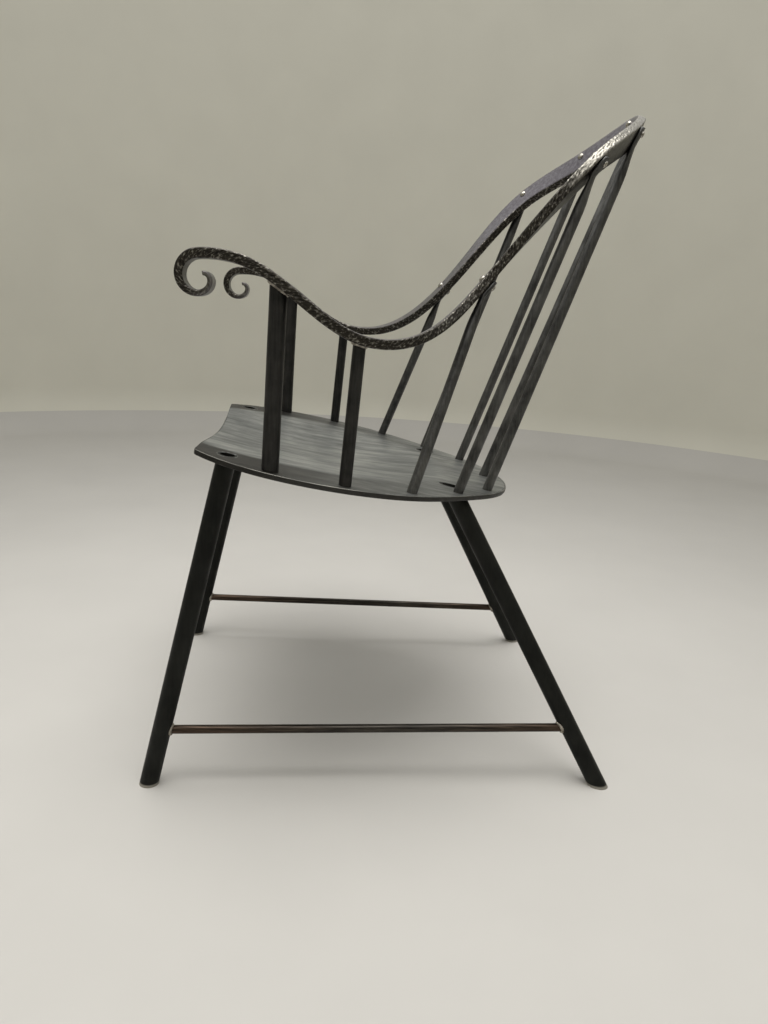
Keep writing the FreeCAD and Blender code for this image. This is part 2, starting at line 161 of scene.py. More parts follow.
def scroll_points():
    """The hand's curl, from its eye out to its top."""
    points = []
    for step in range(SCROLL_STEPS, -1, -1):
        share = step / SCROLL_STEPS
        angle = math.radians(90 + SCROLL_TURN * share)
        radius = SCROLL_RADIUS + (SCROLL_EYE_RADIUS - SCROLL_RADIUS) * share ** 3
        points.append(SCROLL_CENTRE + Vector((0, radius * math.cos(angle), radius * math.sin(angle))))
    return points


half_line = scroll_points() + [ARM_CROWN, FRONT_POST_TOP, REAR_POST_TOP, ARM_DIP] + RIVETED
stations, bow_place = smooth_line(half_line + [CREST] + [mirrored(point) for point in reversed(half_line)])
SCROLL_TOP_AT = stations[SCROLL_STEPS]
FRONT_POST_AT = stations[SCROLL_STEPS + 2]
FLAT_UNTIL = stations[SCROLL_STEPS + 3]
RIVETS_AT = stations[SCROLL_STEPS + 5:SCROLL_STEPS + 8]
CREST_AT = stations[len(half_line)]
# At the crest the bar stands along the centre spindle
CREST_WIDE = (CREST - seat_plane(*CENTRE_SPINDLE_FOOT)).normalized()


def bow_frame(at):
    """The bar's middle, its outward width direction and its face's direction at a length along it."""
    flip = at > CREST_AT
    near = 2 * CREST_AT - at if flip else at
    middle, along = bow_place(near)
    turn = (max(near - FLAT_UNTIL, 0) / (CREST_AT - FLAT_UNTIL)) ** BOW_TURN_POWER
    wide = Vector((1, 0, 0)) * (1 - turn) + CREST_WIDE * turn
    wide = (wide - along * wide.dot(along)).normalized()
    directions = (middle, wide, wide.cross(along).normalized())
    return [mirrored(vector) for vector in directions] if flip else directions


def bow_thickness(at):
    """The bar draws out thinner along the curl of the hand."""
    out = min(at, 2 * CREST_AT - at) / SCROLL_TOP_AT
    return SCROLL_TIP_THICKNESS + (BOW_THICKNESS - SCROLL_TIP_THICKNESS) * min(out, 1)


# Small tools for nodes and meshes
def linear(text):
    """An sRGB hex colour as linear red, green, blue and alpha."""
    parts = [int(text[i:i + 2], 16) / 255 for i in (1, 3, 5)]
    return [c / 12.92 if c <= 0.04045 else ((c + 0.055) / 1.055) ** 2.4 for c in parts] + [1.0]


def add(tree, kind, inputs=None, ramp=None, **settings):
    """A node with its settings. An input is a value, a socket, or a node for its first live output."""
    node = tree.nodes.new(kind)
    for name, value in settings.items():
        setattr(node, name, value)
    for name, value in (inputs or {}).items():
        named = [socket for socket in node.inputs if socket.enabled and socket.name == name]
        target = named[0] if named else node.inputs[name]
        if isinstance(value, bpy.types.Node):
            value = next(socket for socket in value.outputs if socket.enabled)
        if isinstance(value, bpy.types.NodeSocket):
            tree.links.new(value, target)
        else:
            target.default_value = value
    if ramp:
        stops = node.color_ramp.elements
        while len(stops) < len(ramp):
            stops.new(1.0)
        for stop, (place, colour) in zip(stops, ramp):
            stop.position = place
            stop.color = linear(colour)
    return node


def new_material(name):
    material = bpy.data.materials.new(name)
    material.use_nodes = True
    material.node_tree.nodes.clear()
    return material, material.node_tree


def finish_material(tree, inputs):
    """Joins a principled shader with these inputs to the material's output."""
    shader = add(tree, "ShaderNodeBsdfPrincipled", inputs)
    add(tree, "ShaderNodeOutputMaterial", {"Surface": shader})


def new_piece(name, mesh, material, slot, *replaced):
    """A piece of the chair, in place of the named solids."""
    mesh.materials.clear()
    mesh.materials.append(material)
    piece = bpy.data.objects.new(name, mesh)
    bpy.context.scene.collection.objects.link(piece)
    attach(piece, "root")
    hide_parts(*replaced)


def mesh_from(name, points, faces, edges=()):
    mesh = bpy.data.meshes.new(name)
    mesh.from_pydata([tuple(point * MM) for point in points], edges, faces)
    mesh.polygons.foreach_set("use_smooth", [True] * len(mesh.polygons))
    mesh.update()
    return mesh


def set_values(mesh, name, values):
    mesh.attributes.new(name, "FLOAT", "POINT").data.foreach_set("value", [float(value) for value in values])


def band_faces(rings, around):
    """Faces that join each closed ring of points to the next."""
    return [(ring * around + step, ring * around + (step + 1) % around,
             (ring + 1) * around + (step + 1) % around, (ring + 1) * around + step)
            for ring in range(rings - 1) for step in range(around)]


def face_outwards(mesh):
    work = bmesh.new()
    work.from_mesh(mesh)
    bmesh.ops.recalc_face_normals(work, faces=work.faces)
    work.to_mesh(mesh)
    work.free()


def evaluated(name, mesh, set_up):
    """The mesh as a plain mesh after the modifier that set_up puts on it."""
    holder = bpy.data.objects.new(name, mesh)
    bpy.context.scene.collection.objects.link(holder)
    set_up(holder)
    graph = bpy.context.evaluated_depsgraph_get()
    result = bpy.data.meshes.new_from_object(holder.evaluated_get(graph))
    holder.modifiers.clear()
    bpy.data.objects.remove(holder)
    return result


def clip(value):
    return min(max(value, 0.0), 1.0)


# Materials
def blackened_steel(name, deep, worn, roughness, streak_mm):
    """Mild steel under its mill scale, waxed: black to dark grey with a soft sheen, faint streaks from
    drawing, rubbed places where the scale has gone thin, and bare ground metal close to the floor."""
    material, tree = new_material(name)
    where = add(tree, "ShaderNodeTexCoord").outputs["Object"]
    drawn = add(tree, "ShaderNodeMapping", {"Vector": where, "Scale": (1.0, 1.0, 0.06)})
    streaks = add(tree, "ShaderNodeTexNoise", {"Vector": drawn, "Scale": 1 / (streak_mm * MM), "Detail": 4.0})
    # Streaks and grit are finer on real bar; here they are coarse enough to show
    cloud_mm, grit_mm, bare_mm, scale_mm = 38.0, 1.6, 3.0, 5.0
    clouds = add(tree, "ShaderNodeTexNoise", {"Vector": where, "Scale": 1 / (cloud_mm * MM), "Detail": 5.0,
                                              "Roughness": 0.6})
    grit = add(tree, "ShaderNodeTexNoise", {"Vector": where, "Scale": 1 / (grit_mm * MM), "Detail": 3.0})
    both = add(tree, "ShaderNodeMix", {"Factor": 0.65, "A": streaks, "B": clouds})
    scale = add(tree, "ShaderNodeValToRGB", {"Fac": both}, ramp=[(0.36, deep), (0.68, worn)])
    height = add(tree, "ShaderNodeSeparateXYZ", {"Vector": where}).outputs["Z"]
    bare = add(tree, "ShaderNodeMapRange", {"Value": height, "From Min": scale_mm * MM,
                                            "From Max": bare_mm * MM})
    colour = add(tree, "ShaderNodeMix", {"Factor": bare, "A": scale, "B": linear("#98958d")},
                 data_type="RGBA")
    gloss = add(tree, "ShaderNodeMapRange", {"Value": clouds, "From Min": 0.3, "From Max": 0.7,
                                             "To Min": roughness + 0.12, "To Max": roughness - 0.06})
    bump = add(tree, "ShaderNodeBump", {"Height": grit, "Strength": 0.25, "Distance": 0.3 * MM})
    finish_material(tree, {"Base Color": colour, "Metallic": 0.75, "Roughness": gloss, "Normal": bump})
    return material


def burnished_plate():
    """Hot-rolled plate, rubbed from front to rear with a flap disc and waxed: mid grey with long soft
    streaks, darker scale left on the flat borders, and bare steel on the arris, made lighter there
    as a painted edge highlight."""
    material, tree = new_material("burnished_plate")
    where = add(tree, "ShaderNodeTexCoord").outputs["Object"]
    rubbed = add(tree, "ShaderNodeMapping", {"Vector": where, "Scale": (1.0, 0.12, 1.0)})
    # The disc's fine scratches are finer on real plate; here they are coarse enough to show
    streak_mm, fine_mm, cloud_mm = 22.0, 3.0, 90.0
    streaks = add(tree, "ShaderNodeTexNoise", {"Vector": rubbed, "Scale": 1 / (streak_mm * MM), "Detail": 6.0,
                                               "Roughness": 0.62})
    fine = add(tree, "ShaderNodeTexNoise", {"Vector": rubbed, "Scale": 1 / (fine_mm * MM), "Detail": 3.0})
    clouds = add(tree, "ShaderNodeTexNoise", {"Vector": where, "Scale": 1 / (cloud_mm * MM), "Detail": 3.0})
    broad = add(tree, "ShaderNodeMix", {"Factor": 0.35, "A": streaks, "B": clouds})
    mixed = add(tree, "ShaderNodeMix", {"Factor": 0.18, "A": broad, "B": fine})
    steel = add(tree, "ShaderNodeValToRGB", {"Fac": mixed},
                ramp=[(0.38, "#636564"), (0.50, "#838583"), (0.62, "#a8a9a6")])
    border = add(tree, "ShaderNodeAttribute", attribute_name="border").outputs["Fac"]
    scaled = add(tree, "ShaderNodeMix", {"Factor": border, "A": steel, "B": linear("#343331")},
                 data_type="RGBA")
    # The arris's lighter colour is worn bare steel and a painted edge highlight
    arris = add(tree, "ShaderNodeAttribute", attribute_name="arris").outputs["Fac"]
    colour = add(tree, "ShaderNodeMix", {"Factor": arris, "A": scaled, "B": linear("#a9a7a0")},
                 data_type="RGBA")
    gloss = add(tree, "ShaderNodeMapRange", {"Value": mixed, "From Min": 0.3, "From Max": 0.7,
                                             "To Min": 0.55, "To Max": 0.38})
    bump = add(tree, "ShaderNodeBump", {"Height": fine, "Strength": 0.2, "Distance": 0.3 * MM})
    finish_material(tree, {"Base Color": colour, "Metallic": 0.9, "Roughness": gloss, "Normal": bump})
    return material


def hammered_bar():
    """Forged flat bar: its front face smooth, grey with a violet cast of old scale, its narrow edges
    hammered, dark in the dints and lighter on the ridges, partly rubbed metal and partly painted glints,
    its rear face painted darker as painted shade, its hands rubbed to a polish by use, and a painted
    highlight along the outer edge of the upper back."""
    material, tree = new_material("hammered_bar")
    where = add(tree, "ShaderNodeTexCoord").outputs["Object"]
    mottle_mm, fleck_mm = 5.0, 1.8
    mottle = add(tree, "ShaderNodeTexNoise", {"Vector": where, "Scale": 1 / (mottle_mm * MM), "Detail": 7.0,
                                              "Roughness": 0.7})
    flecks = add(tree, "ShaderNodeTexNoise", {"Vector": where, "Scale": 1 / (fleck_mm * MM), "Detail": 2.0})
    front = add(tree, "ShaderNodeValToRGB", {"Fac": mottle},
                ramp=[(0.32, "#58555a"), (0.50, "#6c696e"), (0.68, "#827f85")])
    # The rear face's darker ramp is painted shade, for the shadow on the bar's back
    rear = add(tree, "ShaderNodeValToRGB", {"Fac": mottle}, ramp=[(0.36, "#363431"), (0.66, "#4a4845")])
    behind = add(tree, "ShaderNodeAttribute", attribute_name="behind").outputs["Fac"]
    sides = add(tree, "ShaderNodeMix", {"Factor": behind, "A": front, "B": rear}, data_type="RGBA")
    ridge = add(tree, "ShaderNodeAttribute", attribute_name="ridge").outputs["Fac"]
    # The ridges' light end is partly rubbed metal and partly painted glints, where light would catch the
    # ridges
    hammered = add(tree, "ShaderNodeValToRGB", {"Fac": ridge},
                   ramp=[(0.0, "#23211e"), (0.42, "#383531"), (0.58, "#a29f97")])
    edge = add(tree, "ShaderNodeAttribute", attribute_name="edge").outputs["Fac"]
    worked = add(tree, "ShaderNodeMix", {"Factor": edge, "A": sides, "B": hammered}, data_type="RGBA")
    # This lighter ramp gives both the curl's polish and the painted highlight on the upper back's outer edge
    polish_and_highlight = add(tree, "ShaderNodeValToRGB", {"Fac": ridge}, ramp=[(0.0, "#66635d"), (0.45, "#a5a29a")])
    rubbed = add(tree, "ShaderNodeAttribute", attribute_name="rubbed").outputs["Fac"]
    colour = add(tree, "ShaderNodeMix", {"Factor": rubbed, "A": worked, "B": polish_and_highlight}, data_type="RGBA")
    gloss = add(tree, "ShaderNodeMapRange", {"Value": mottle, "From Min": 0.3, "From Max": 0.7,
                                             "To Min": 0.42, "To Max": 0.30})
    bump = add(tree, "ShaderNodeBump", {"Height": flecks, "Strength": 0.25, "Distance": 0.4 * MM})
    finish_material(tree, {"Base Color": colour, "Metallic": 0.92, "Roughness": gloss, "Normal": bump})
    return material


def heated_rod():
    """Drawn round rod, waxed dark: brown heat colours near its welded ends."""
    material, tree = new_material("heated_rod")
    where = add(tree, "ShaderNodeTexCoord").outputs["Object"]
    drawn = add(tree, "ShaderNodeMapping", {"Vector": where, "Scale": (1.0, 0.05, 1.0)})
    # Streaks are finer on real rod; plain in the middle of its length, brown from there to its ends
    streak_mm, plain_mm, brown_mm = 2.5, 60.0, 260.0
    streaks = add(tree, "ShaderNodeTexNoise", {"Vector": drawn, "Scale": 1 / (streak_mm * MM), "Detail": 4.0})
    along = add(tree, "ShaderNodeSeparateXYZ", {"Vector": where}).outputs["Y"]
    distance = add(tree, "ShaderNodeMath", {0: along}, operation="ABSOLUTE")
    heat = add(tree, "ShaderNodeMapRange", {"Value": distance, "From Min": plain_mm * MM,
                                            "From Max": brown_mm * MM})
    plain = add(tree, "ShaderNodeValToRGB", {"Fac": streaks}, ramp=[(0.36, "#2b2926"), (0.70, "#4c4842")])
    brown = add(tree, "ShaderNodeValToRGB", {"Fac": streaks}, ramp=[(0.36, "#302821"), (0.70, "#54453a")])
    colour = add(tree, "ShaderNodeMix", {"Factor": heat, "A": plain, "B": brown}, data_type="RGBA")
    bump = add(tree, "ShaderNodeBump", {"Height": streaks, "Strength": 0.2, "Distance": 0.2 * MM})
    finish_material(tree, {"Base Color": colour, "Metallic": 0.85, "Roughness": 0.36, "Normal": bump})
    return material


def weld_metal():
    """Mild steel weld, wire brushed: dull grey ripples with straw and brown heat colours."""
    material, tree = new_material("weld_metal")
    where = add(tree, "ShaderNodeTexCoord").outputs["Object"]
    heat_mm = 7.0
    heat = add(tree, "ShaderNodeTexNoise", {"Vector": where, "Scale": 1 / (heat_mm * MM), "Detail": 4.0})
    colour = add(tree, "ShaderNodeValToRGB", {"Fac": heat},
                 ramp=[(0.32, "#6a635b"), (0.5, "#9d978d"), (0.70, "#cbc6bc")])
    finish_material(tree, {"Base Color": colour, "Metallic": 0.9, "Roughness": 0.4})
    return material


def peened_rivet():
    """Soft iron rivet, peened over and rubbed bright on its crown."""
    material, tree = new_material("peened_rivet")
    where = add(tree, "ShaderNodeTexCoord").outputs["Object"]
    dint_mm = 2.2
    dints = add(tree, "ShaderNodeTexVoronoi", {"Vector": where, "Scale": 1 / (dint_mm * MM)})
    colour = add(tree, "ShaderNodeValToRGB", {"Fac": dints}, ramp=[(0.0, "#cfccc4"), (0.7, "#88847c")])
    bump = add(tree, "ShaderNodeBump", {"Height": dints, "Strength": 0.2, "Distance": 0.4 * MM})
    finish_material(tree, {"Base Color": colour, "Metallic": 1.0, "Roughness": 0.25, "Normal": bump})
    return material


leg_steel = blackened_steel("waxed_black_tube", "#151614", "#222320", 0.50, 3.0)
bar_steel = blackened_steel("waxed_dark_bar", "#1f1f1e", "#3b3a39", 0.40, 2.5)
# The spindles get a lighter copy of the bars' steel, painted lighter for the light that falls on them
spindle_steel_painted_lighter = blackened_steel("waxed_rod_painted_lighter", "#323231", "#636362", 0.36, 2.0)
rod_steel = heated_rod()
seat_steel = burnished_plate()
bow_steel = hammered_bar()
weld_steel = weld_metal()
rivet_steel = peened_rivet()

# Solids that stay as they are get their own finish
FINISHES = (("_welds", weld_steel), ("_leg_", leg_steel), ("_foot_plug_", leg_steel),
            ("stretcher_", rod_steel), ("_spindle", spindle_steel_painted_lighter))
for node, solid in nodes.items():
    finish = next((material for part, material in FINISHES if part in node), bar_steel)
    for material_slot in solid.material_slots:
        material_slot.material = finish


# Bow, with hammered edges
def bar_section(thick):
    """The bar's outline, across and through, with rounded corners."""
    round_off = min(2.0, thick * 0.3)
    face_steps, edge_steps, corner_steps = 10, 9, 3
    corners = [(1, 1), (-1, 1), (-1, -1), (1, -1)]
    inner = [Vector((side * (BOW_WIDTH / 2 - round_off), level * (thick / 2 - round_off)))
             for side, level in corners]
    section = []
    for turn in range(4):
        out = [Vector((math.cos(angle), math.sin(angle))) * round_off
               for angle in ((turn + step / corner_steps) * math.pi / 2 for step in range(corner_steps + 1))]
        section += [inner[turn] + arm for arm in out]
        start, end = inner[turn] + out[-1], inner[(turn + 1) % 4] + out[-1]
        steps = edge_steps if turn % 2 else face_steps
        section += [start.lerp(end, step / steps) for step in range(1, steps)]
    return section


def hammer_height(at, through, side):
    """Height of the hammered edge: long slanting dints side by side, with ridges between them."""
    dint_long, dint_wide, slant = 7.0, 2.8, math.radians(35)
    ridge_width, unevenness = 0.6, 0.3
    along = at * math.cos(slant) + through * math.sin(slant)
    across = through * math.cos(slant) - at * math.sin(slant)
    place = Vector((along / dint_long, across / dint_wide, 9.0 * side))
    distances, _ = noise.voronoi(place)
    sunk = clip((distances[1] - distances[0]) / ridge_width)
    return 0.5 - sunk + unevenness * noise.noise(place * 2.0)


def make_bow():
    """The bar along its middle line, with values for the finish of its faces and edges, and for their painted
    shade and highlights.
    """
    spacing, dint_depth, dint_floor, swell_size, swell_mm = 1.4, 1.2, 0.65, 0.3, 22.0
    edge_band, edge_blend = 3.0, 2.0
    smooth_length, smooth_blend, painted_highlight_blend = 45.0, 30.0, 60.0
    length = 2 * CREST_AT
    rings = int(length / spacing)
    points, values = [], {"edge": [], "ridge": [], "behind": [], "rubbed": []}
    for ring in range(rings + 1):
        at = length * ring / rings
        middle, wide, face = bow_frame(at)
        from_tip = min(at, length - at)
        # The last of the curl is rubbed smooth, and the outer edge of the upper back gets a painted
        # highlight, for the light on it
        smooth = 0.7 * clip((smooth_length - from_tip) / smooth_blend)
        painted_highlight = 0.8 * clip((from_tip - RIVETS_AT[1] + painted_highlight_blend) / painted_highlight_blend)
        for across, through in bar_section(bow_thickness(at)):
            side = math.copysign(1, across)
            on_edge = clip((abs(across) - (BOW_WIDTH / 2 - edge_band)) / edge_blend) * (1 - smooth)
            height = hammer_height(at, through, side) if on_edge > 0 else 0.0
            place = middle + wide * across + face * through
            swell = swell_size * noise.noise(place / swell_mm)
            place += wide * (side * on_edge * (dint_depth * height - dint_floor))
            place += face * (math.copysign(swell, through) * (1 - on_edge))
            points.append(place)
            values["edge"].append(on_edge)
            values["ridge"].append(0.25 + height * 0.5)
            # behind marks the rear face, which the material paints darker as painted shade
            values["behind"].append(through < 0)
            # rubbed carries the curl's polish and the painted highlight on the upper back's outer edge
            values["rubbed"].append(max(0.3 * smooth, painted_highlight * on_edge * (side > 0)))
    around = len(points) // (rings + 1)
    faces = band_faces(rings + 1, around)
    faces += [tuple(range(around)), tuple(range(rings * around, (rings + 1) * around))]
    mesh = mesh_from("bow", points, faces)
    for name, entries in values.items():
        set_values(mesh, name, entries)
    face_outwards(mesh)
    new_piece("bow", mesh, bow_steel, "bow_steel", "continuous_bow")


make_bow()


# Seat, with a nicked edge and holes for the legs
def seat_outline():
    """The plate's edge from above, closed, with its front corners rounded."""
    beside = [foot + (foot - DISH_CENTRE).normalized() * SEAT_EDGE_MARGIN for foot in UPRIGHT_FEET]
    half = [SEAT_CORNER] + beside
    whole = half + [SEAT_REAR] + [mirrored(point) for point in reversed(half)]
    at, place = smooth_line([point.to_3d() for point in whole])
    spacing = 3.0
    steps = int(at[-1] / spacing)
    side = [place(at[-1] * step / steps)[0].to_2d() for step in range(steps + 1)]
    # The front edge bows inwards on a shallow arc
    reach = SEAT_CORNER.x
    radius = (reach ** 2 + SEAT_FRONT_BOW ** 2) / (2 * SEAT_FRONT_BOW)
    front_steps = int(2 * reach / spacing)
    front = []
    for step in range(1, front_steps):
        x = reach * (2 * step / front_steps - 1)
        front.append(Vector((x, SEAT_CORNER.y + SEAT_FRONT_BOW - radius + math.sqrt(radius ** 2 - x ** 2))))
    # Each corner's arc touches the front edge and the side
    along_side = (side[1] - side[0]).normalized()
    along_front = (front[-1] - SEAT_CORNER).normalized()
    half_opening = along_side.angle(along_front) / 2
    setback = SEAT_CORNER_RADIUS / math.tan(half_opening)
    inward = (along_side + along_front).normalized()
    middle = SEAT_CORNER + inward * (SEAT_CORNER_RADIUS / math.sin(half_opening))
    arc_steps = 10
    arc = []
    for step in range(arc_steps + 1):
        mix = (SEAT_CORNER + along_front * setback).lerp(SEAT_CORNER + along_side * setback, step / arc_steps)
        arc.append(middle + (mix - middle).normalized() * SEAT_CORNER_RADIUS)
    far = [mirrored(point) for point in reversed(arc)]

    def clear(point):
        return min((point - SEAT_CORNER).length, (point - mirrored(SEAT_CORNER)).length) > setback

    return arc + [point for point in side if clear(point)] + far + [point for point in front if clear(point)]


def seat_rings():
    """Shares of the way from the seat's middle to its edge, closer near the edge."""
    count = 44
    return [1 - (1 - step / count) ** 1.4 for step in range(1, count)]


def seat_mesh():
    """The dished plate in rings round its middle, with values for the finish of its border and for its
    arris's wear and painted highlight.
    """
    outline = seat_outline()
    around = len(outline)
    nick_depth, nick_step, rubbing_step = 0.9, 0.23, 0.06
    fade_start, fade_length = -190.0, 230.0
    points, border, bright = [], [], []

    def add_ring(share, drop, inset, worn):
        for number, edge in enumerate(outline):
            run = edge - DISH_CENTRE
            nicked = clip(noise.noise(Vector((number * nick_step, 3.1, drop * 0.2))) * 1.6 - 0.25)
            nick = nick_depth * nicked * (worn > 0)
            spot = DISH_CENTRE + run * share - run.normalized() * (inset + nick)
            points.append(seat_top(*spot) - SEAT_NORMAL * drop)
            # Scale on the border fades towards the rear
            rearward = clip((spot.y - fade_start) / fade_length)
            scale = clip(0.9 - dish_inside(*spot) * 14) * (1 - 0.85 * rearward)
            border.append(max(scale, 0.95 if drop > 0.5 else 0.0))
            # The arris is lighter as worn bare steel and as a painted edge highlight
            rubbing = clip(noise.noise(Vector((number * rubbing_step, 7.7, 0))) * 0.9 + 0.55)
            bright.append(rubbing if worn > 1 else 0.0)

    for share in seat_rings():
        add_ring(share, 0.0, 0.0, 0)
    # Down the edge: depth under the top, distance inside the outline, and wear: 1 nicked, 2 also bright with
    # a painted highlight
    rim = ((0.0, 2.2, 0), (0.02, 1.2, 1), (0.2, 0.5, 2), (0.6, 0.15, 1), (1.2, 0.0, 1), (2.4, 0.0, 1),
           (4.6, 0.0, 1), (6.2, 0.15, 1), (6.8, 0.5, 1), (SEAT_THICKNESS, 1.2, 0))
    for drop, inset, worn in rim:
        add_ring(1.0, drop, inset, worn)
    for share in reversed(seat_rings()):
        add_ring(share, SEAT_THICKNESS, 0.0, 0)
    rings = len(points) // around
    faces = band_faces(rings, around)
    for drop, ring in ((0.0, 0), (SEAT_THICKNESS, rings - 1)):
        points.append(seat_top(*DISH_CENTRE) - SEAT_NORMAL * drop)
        border.append(0.0)
        bright.append(0.0)
        tip = len(points) - 1
        faces += [(tip, ring * around + step, ring * around + (step + 1) % around) for step in range(around)]
    mesh = mesh_from("seat", points, faces)
    set_values(mesh, "border", border)
    set_values(mesh, "arris", bright)
    face_outwards(mesh)
    return mesh


def leg_line(foot, head):
    """A leg's foot on the floor and its direction up to the seat."""
    return foot.to_3d(), (seat_plane(*head) - foot.to_3d()).normalized()


def leg_cutters():
    """Round bars where the four legs pass the seat."""
    work = bmesh.new()
    depth, radius = 60 * MM, (LEG_DIAMETER / 2 + FIT_CLEARANCE) * MM
    for foot, head in LEGS:
        _, rise = leg_line(foot, head)
        spot = Matrix.Translation(seat_plane(*head) * MM) @ rise.to_track_quat("Z", "Y").to_matrix().to_4x4()
        bmesh.ops.create_cone(work, cap_ends=True, segments=48, radius1=radius, radius2=radius,
                              depth=depth, matrix=spot)
    mesh = bpy.data.meshes.new("leg_cutters")
    work.to_mesh(mesh)
    work.free()
    return mesh


def make_seat():
    cutter = bpy.data.objects.new("leg_cutters", leg_cutters())
    bpy.context.scene.collection.objects.link(cutter)

    def set_up(holder):
        cut = holder.modifiers.new("leg_holes", "BOOLEAN")
        cut.object = cutter
        cut.solver = "EXACT"

    mesh = evaluated("seat_blank", seat_mesh(), set_up)
    bpy.data.objects.remove(cutter)
    new_piece("seat", mesh, seat_steel, "seat_steel", "seat_plate")


make_seat()


# Repeated pieces, each from a tree of nodes
def new_tree(name, sizes):
    """A geometry tree with named number inputs, and those inputs' sockets."""
    tree = bpy.data.node_groups.new(name, "GeometryNodeTree")
    tree.interface.new_socket("Geometry", in_out="INPUT", socket_type="NodeSocketGeometry")
    for label in sizes:
        tree.interface.new_socket(label, in_out="INPUT", socket_type="NodeSocketFloat")
    tree.interface.new_socket("Geometry", in_out="OUTPUT", socket_type="NodeSocketGeometry")
    return tree, tree.nodes.new("NodeGroupInput").outputs


def close_tree(tree, shape, material):
    whole = add(tree, "GeometryNodeRealizeInstances", {"Geometry": shape})
    finished = add(tree, "GeometryNodeSetMaterial", {"Geometry": whole, "Material": material})
    add(tree, "NodeGroupOutput", {"Geometry": finished})


def grown(name, mesh, tree, sizes):
    """The plain mesh that a tree makes from a mesh, with its named inputs set."""
    def set_up(holder):
        modifier = holder.modifiers.new(name, "NODES")
        modifier.node_group = tree
        for item in tree.interface.items_tree:
            if item.in_out == "INPUT" and item.name in sizes:
                modifier[item.identifier] = sizes[item.name] * MM

    return evaluated(name, mesh, set_up)


def rivet_tree():
    """Round heads and tails on points, turned to the face that each point carries."""
    sizes = [f"{end} {size}" for end in ("Head", "Tail") for size in ("Radius", "Height", "Place")]
    tree, given = new_tree("peened_rivets", sizes + ["Dint Depth"])
    ball = add(tree, "GeometryNodeMeshUVSphere", {"Segments": 20, "Rings": 12, "Radius": 1.0})
    both = add(tree, "GeometryNodeJoinGeometry")
    for end in ("Head", "Tail"):
        spread = add(tree, "ShaderNodeCombineXYZ", {"X": given[f"{end} Radius"], "Y": given[f"{end} Radius"],
                                                    "Z": given[f"{end} Height"]})
        place = add(tree, "ShaderNodeCombineXYZ", {"Z": given[f"{end} Place"]})
        dome = add(tree, "GeometryNodeTransform", {"Geometry": ball, "Translation": place, "Scale": spread})
        tree.links.new(dome.outputs["Geometry"], both.inputs["Geometry"])
    face = add(tree, "GeometryNodeInputNamedAttribute", {"Name": "face"}, data_type="FLOAT_VECTOR")
    turn = add(tree, "FunctionNodeAlignRotationToVector", {"Vector": face}, axis="Z")
    points = add(tree, "GeometryNodeMeshToPoints", {"Mesh": given["Geometry"]})
    set_out = add(tree, "GeometryNodeInstanceOnPoints", {"Points": points, "Instance": both,
                                                         "Rotation": turn})
    real = add(tree, "GeometryNodeRealizeInstances", {"Geometry": set_out})
    dint_mm = 3.2
    dints = add(tree, "ShaderNodeTexNoise", {"Scale": 1 / (dint_mm * MM), "Detail": 0.0})
    depth = add(tree, "ShaderNodeMapRange", {"Value": dints, "From Min": 0.3, "From Max": 0.7,
                                             "To Max": given["Dint Depth"]})
    normal = add(tree, "GeometryNodeInputNormal")
    outward = add(tree, "ShaderNodeVectorMath", {0: normal, "Scale": depth}, operation="SCALE")
    inward = add(tree, "ShaderNodeVectorMath", {0: outward, "Scale": -1.0}, operation="SCALE")
    peened = add(tree, "GeometryNodeSetPosition", {"Geometry": real, "Offset": inward})
    close_tree(tree, add(tree, "GeometryNodeSetShadeSmooth", {"Geometry": peened}), rivet_steel)
    return tree


def make_rivets():
    centres, faces = [], []
    for at in [*RIVETS_AT, CREST_AT, *(2 * CREST_AT - RIVETS_AT)]:
        middle, wide, face = bow_frame(at)
        centres.append(middle + wide * RIVET_OFFSET)
        faces.append(face)
    mesh = mesh_from("rivet_places", centres, [])
    turned = mesh.attributes.new("face", "FLOAT_VECTOR", "POINT")
    turned.data.foreach_set("vector", [number for face in faces for number in face])
    front = BOW_THICKNESS / 2 + FIT_CLEARANCE
    sizes = {"Head Radius": RIVET_HEAD[0], "Head Height": RIVET_HEAD[1], "Head Place": front,
             "Tail Radius": RIVET_TAIL[0], "Tail Height": RIVET_TAIL[1],
             "Tail Place": -front - PADDLE_THICKNESS, "Dint Depth": 0.2}
    new_piece("rivets", grown("rivets", mesh, rivet_tree(), sizes), rivet_steel, "rivet_steel", "back_rivets")


